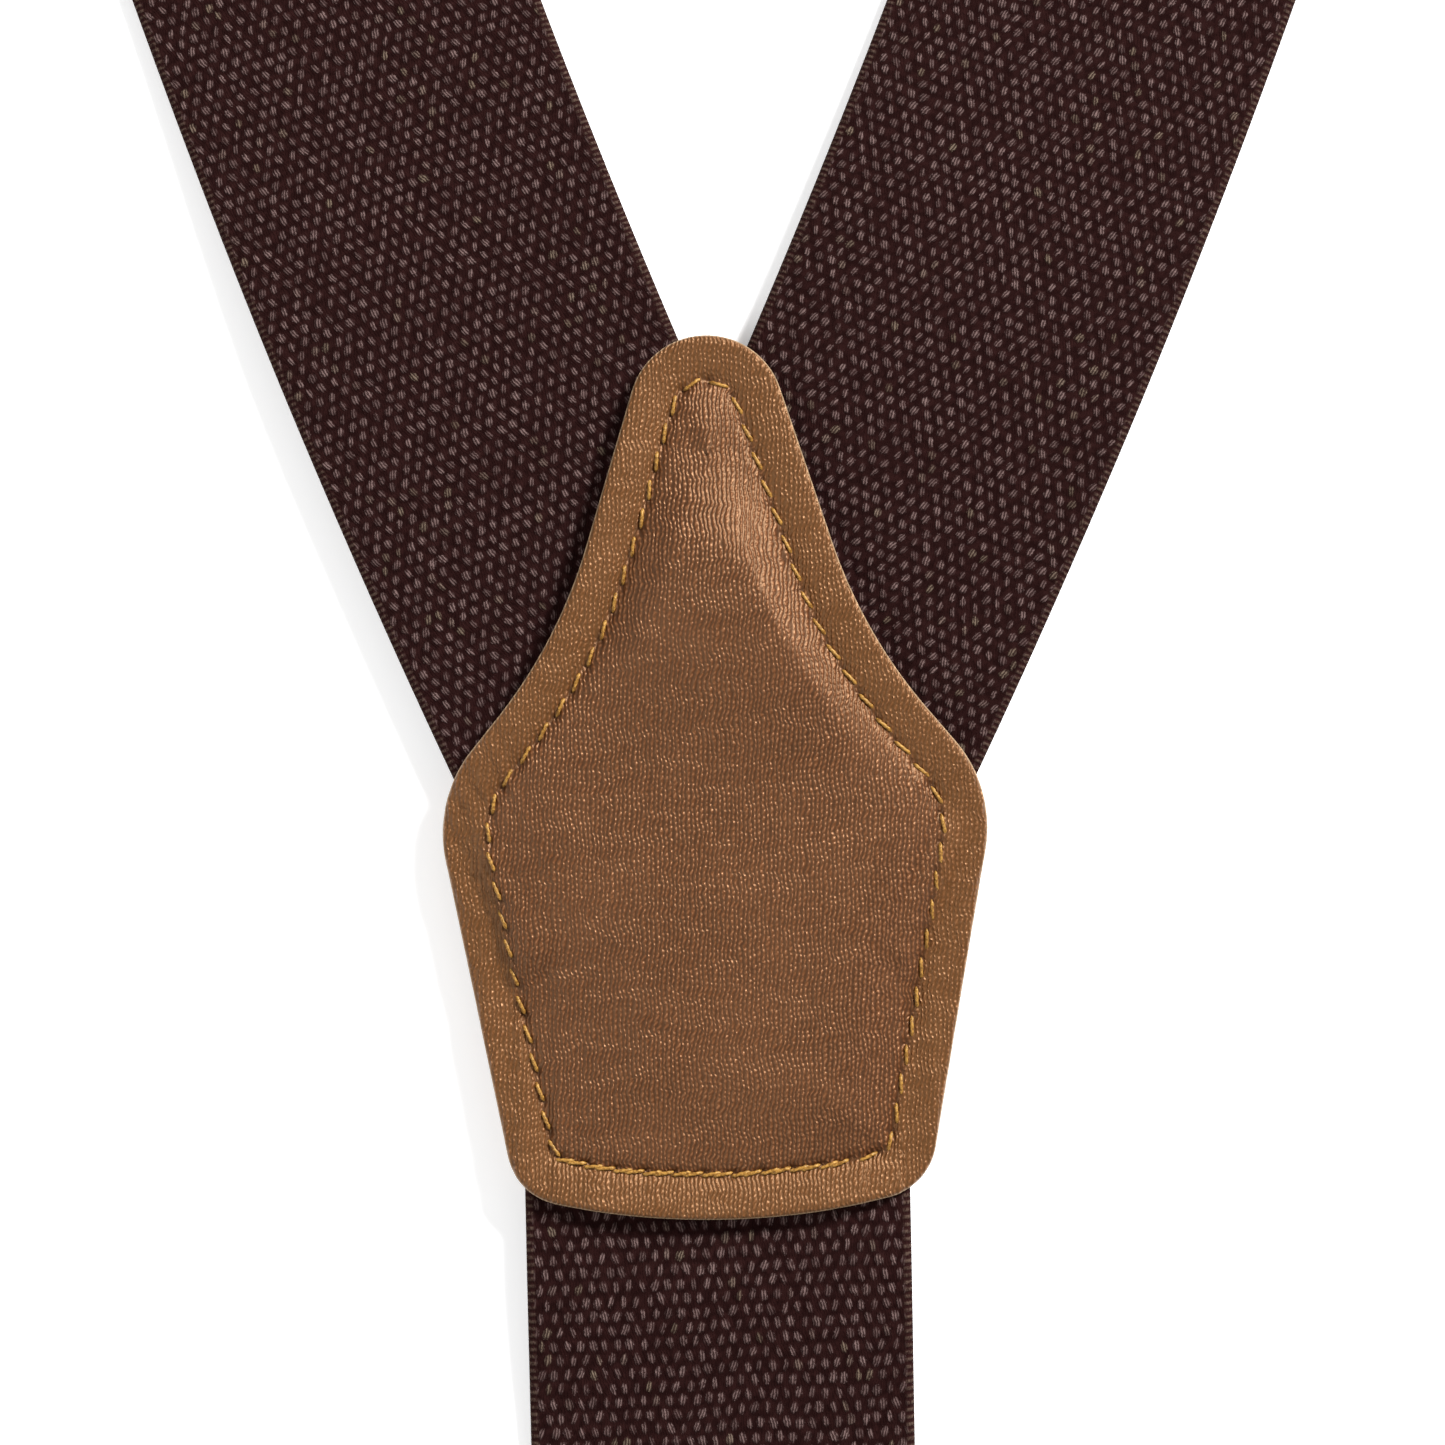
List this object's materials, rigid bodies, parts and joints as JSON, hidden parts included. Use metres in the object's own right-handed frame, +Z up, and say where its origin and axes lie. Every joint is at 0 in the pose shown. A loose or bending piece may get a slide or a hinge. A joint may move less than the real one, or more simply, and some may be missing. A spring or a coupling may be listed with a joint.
{
  "type": "suspenders",
  "caption": "Y-back suspenders: elastic webbing straps joined by a stitched leather patch, with sliding clamp adjusters and toothed lever clips.",
  "frame": {"origin": "on the surface under the middle of the leather patch, at its lining's flat face", "axes": "+Y from the patch along the shoulder straps to the front clips, +Z up from the surface through the outer face, +X to the right seen from above"},
  "size_m": [0.2102, 1.0461, 0.0107],
  "materials": {
    "webbing": "dark brown elastic webbing in a coarse plain weave, matt with slightly fuzzy yarns",
    "leather": "mid brown fine-grained leather with a soft satin sheen",
    "lining": "matt brown leather lining",
    "thread": "golden brown twisted sewing thread",
    "nickel": "nickel-plated steel, satin, lightly brushed",
    "grip_teeth": "dark brown moulded plastic with ridged teeth"
  },
  "bodies": {
    "root": {"patch_front": "leather", "patch_back": "lining", "patch_thread": "thread", "left_shoulder_strap": "webbing", "right_shoulder_strap": "webbing", "back_strap": "webbing", "back_strap_thread": "thread"},
    "left_adjuster": {"left_adjuster_frame": "nickel", "left_adjuster_pin": "nickel", "left_strap_return": "webbing"},
    "left_adjuster_clamp": {"left_adjuster_clamp": "nickel"},
    "left_strap_loop": {"left_strap_loop": "webbing"},
    "left_clip": {"left_clip_base": "nickel", "left_clip_base_pad": "grip_teeth", "left_clip_jaw_pin": "nickel", "left_clip_lever_pin": "nickel"},
    "left_clip_jaw": {"left_clip_jaw": "nickel", "left_clip_jaw_pad": "grip_teeth"},
    "left_clip_lever": {"left_clip_lever": "nickel"},
    "right_adjuster": {"right_adjuster_frame": "nickel", "right_adjuster_pin": "nickel", "right_strap_return": "webbing"},
    "right_adjuster_clamp": {"right_adjuster_clamp": "nickel"},
    "right_strap_loop": {"right_strap_loop": "webbing"},
    "right_clip": {"right_clip_base": "nickel", "right_clip_base_pad": "grip_teeth", "right_clip_jaw_pin": "nickel", "right_clip_lever_pin": "nickel"},
    "right_clip_jaw": {"right_clip_jaw": "nickel", "right_clip_jaw_pad": "grip_teeth"},
    "right_clip_lever": {"right_clip_lever": "nickel"},
    "back_clip": {"back_clip_base": "nickel", "back_clip_base_pad": "grip_teeth", "back_clip_jaw_pin": "nickel", "back_clip_lever_pin": "nickel"},
    "back_clip_jaw": {"back_clip_jaw": "nickel", "back_clip_jaw_pad": "grip_teeth"},
    "back_clip_lever": {"back_clip_lever": "nickel"}
  },
  "joints": [
    {"name": "left_adjuster_slide", "type": "slide", "parent": "root", "child": "left_adjuster", "axis": [0, 1, 0], "range_m": [0, 0.06], "deforming": ["left_shoulder_strap", "left_strap_return"]},
    {"name": "left_loop_travel", "type": "slide", "parent": "root", "child": "left_strap_loop", "axis": [0, 1, 0], "range_m": [0, 0.03]},
    {"name": "left_clamp_hinge", "type": "hinge", "parent": "left_adjuster", "child": "left_adjuster_clamp", "pos_m": [-0.08394, 0.587, 0.0086], "axis": [1, 0, 0], "range_deg": [0, 100]},
    {"name": "left_clip_swing", "type": "hinge", "parent": "left_strap_loop", "child": "left_clip", "pos_m": [-0.08394, 0.752, 0.0028], "axis": [1, 0, 0], "range_deg": [0, 75]},
    {"name": "left_lever_hinge", "type": "hinge", "parent": "left_clip", "child": "left_clip_lever", "pos_m": [-0.08394, 0.764, 0.007], "axis": [1, 0, 0], "range_deg": [0, 100]},
    {"name": "left_jaw_hinge", "type": "hinge", "parent": "left_clip", "child": "left_clip_jaw", "pos_m": [-0.08394, 0.77, 0.0056], "axis": [1, 0, 0], "range_deg": [0, 20]},
    {"name": "right_adjuster_slide", "type": "slide", "parent": "root", "child": "right_adjuster", "axis": [0, 1, 0], "range_m": [0, 0.06], "deforming": ["right_shoulder_strap", "right_strap_return"]},
    {"name": "right_loop_travel", "type": "slide", "parent": "root", "child": "right_strap_loop", "axis": [0, 1, 0], "range_m": [0, 0.03]},
    {"name": "right_clamp_hinge", "type": "hinge", "parent": "right_adjuster", "child": "right_adjuster_clamp", "pos_m": [0.08394, 0.587, 0.0086], "axis": [1, 0, 0], "range_deg": [0, 100]},
    {"name": "right_clip_swing", "type": "hinge", "parent": "right_strap_loop", "child": "right_clip", "pos_m": [0.08394, 0.752, 0.0028], "axis": [1, 0, 0], "range_deg": [0, 75]},
    {"name": "right_lever_hinge", "type": "hinge", "parent": "right_clip", "child": "right_clip_lever", "pos_m": [0.08394, 0.764, 0.007], "axis": [1, 0, 0], "range_deg": [0, 100]},
    {"name": "right_jaw_hinge", "type": "hinge", "parent": "right_clip", "child": "right_clip_jaw", "pos_m": [0.08394, 0.77, 0.0056], "axis": [1, 0, 0], "range_deg": [0, 20]},
    {"name": "back_clip_swing", "type": "hinge", "parent": "root", "child": "back_clip", "pos_m": [0.0037, -0.19797, 0.0028], "axis": [-0.9998, -0.0209, 0], "range_deg": [0, 75]},
    {"name": "back_lever_hinge", "type": "hinge", "parent": "back_clip", "child": "back_clip_lever", "pos_m": [0.00395, -0.20996, 0.007], "axis": [-0.9998, -0.0209, 0], "range_deg": [0, 100]},
    {"name": "back_jaw_hinge", "type": "hinge", "parent": "back_clip", "child": "back_clip_jaw", "pos_m": [0.00407, -0.21596, 0.0056], "axis": [-0.9998, -0.0209, 0], "range_deg": [0, 20]}
  ],
  "couplings": [
    {"joint": "left_loop_travel", "follows": "left_adjuster_slide", "ratio": 0.5},
    {"joint": "left_jaw_hinge", "follows": "left_lever_hinge", "ratio": 0.2},
    {"joint": "right_loop_travel", "follows": "right_adjuster_slide", "ratio": 0.5},
    {"joint": "right_jaw_hinge", "follows": "right_lever_hinge", "ratio": 0.2},
    {"joint": "back_jaw_hinge", "follows": "back_lever_hinge", "ratio": 0.2}
  ]
}
